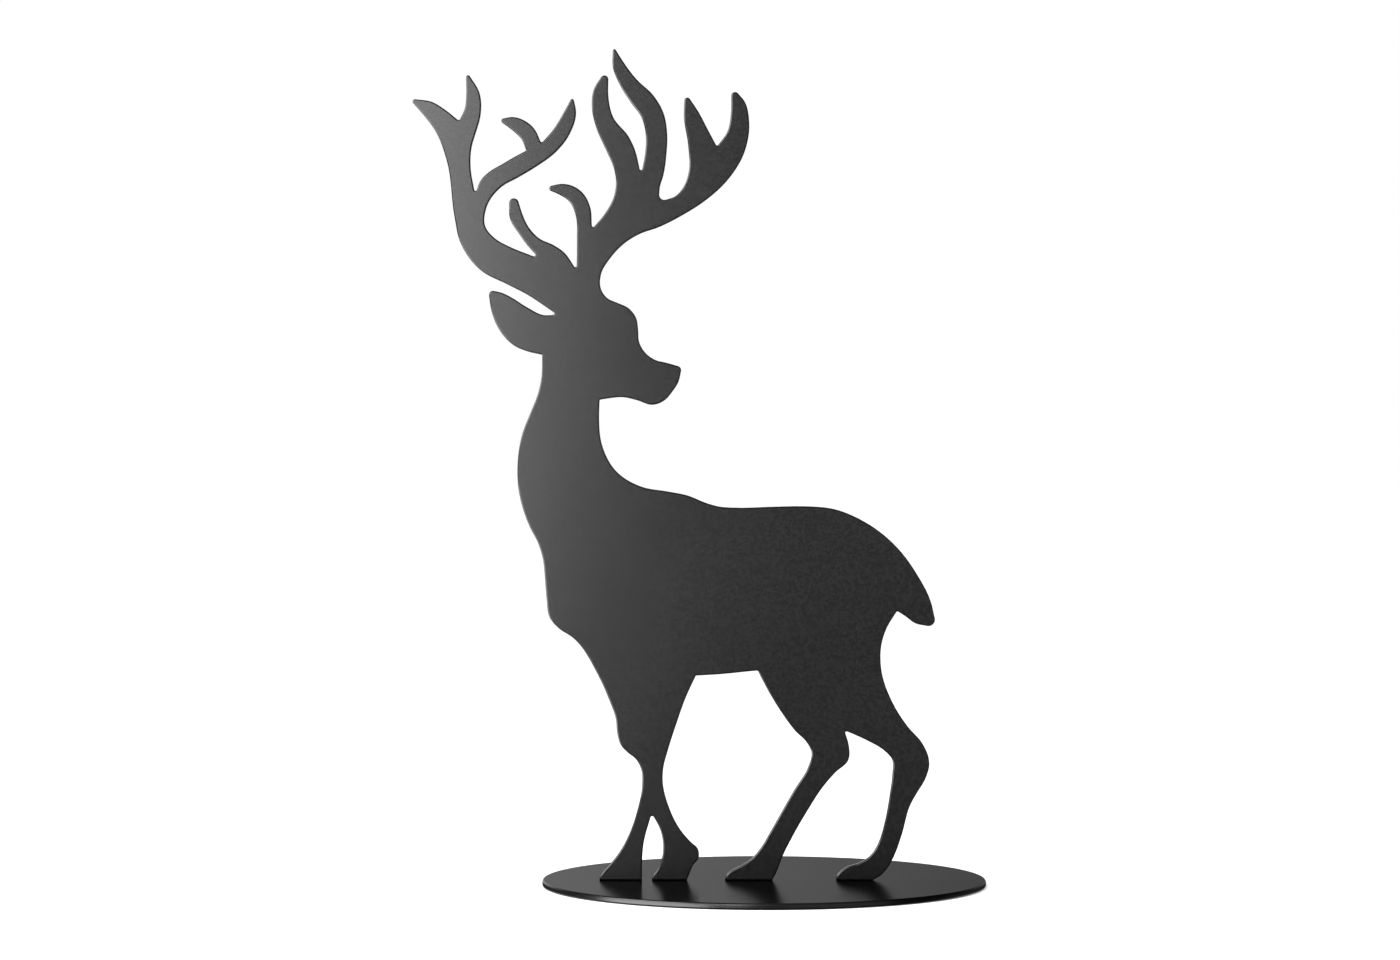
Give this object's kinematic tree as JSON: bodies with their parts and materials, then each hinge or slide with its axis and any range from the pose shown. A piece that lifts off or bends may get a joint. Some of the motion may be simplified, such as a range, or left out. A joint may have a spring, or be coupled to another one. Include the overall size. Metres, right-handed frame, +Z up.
{
  "type": "sheet steel stag statue",
  "caption": "Flat stag silhouette cut from black-coated sheet steel, looking back over its shoulder, standing upright on a round base plate of the same sheet.",
  "frame": {"origin": "centre of the base plate's underside, on the surface that the statue stands on", "axes": "+Z up; +X along the silhouette, from the stag's chest towards its tail and the way its turned head looks; +Y across the sheet, away from the side first seen; the sheet stands 5 mm to the -Y side of the origin"},
  "size_m": [0.1793, 0.139, 0.2616],
  "materials": {
    "black_coat": "satin black powder coat over steel sheet, fine orange peel"
  },
  "bodies": {
    "root": {"base_plate": "black_coat", "stag": "black_coat"}
  },
  "joints": []
}
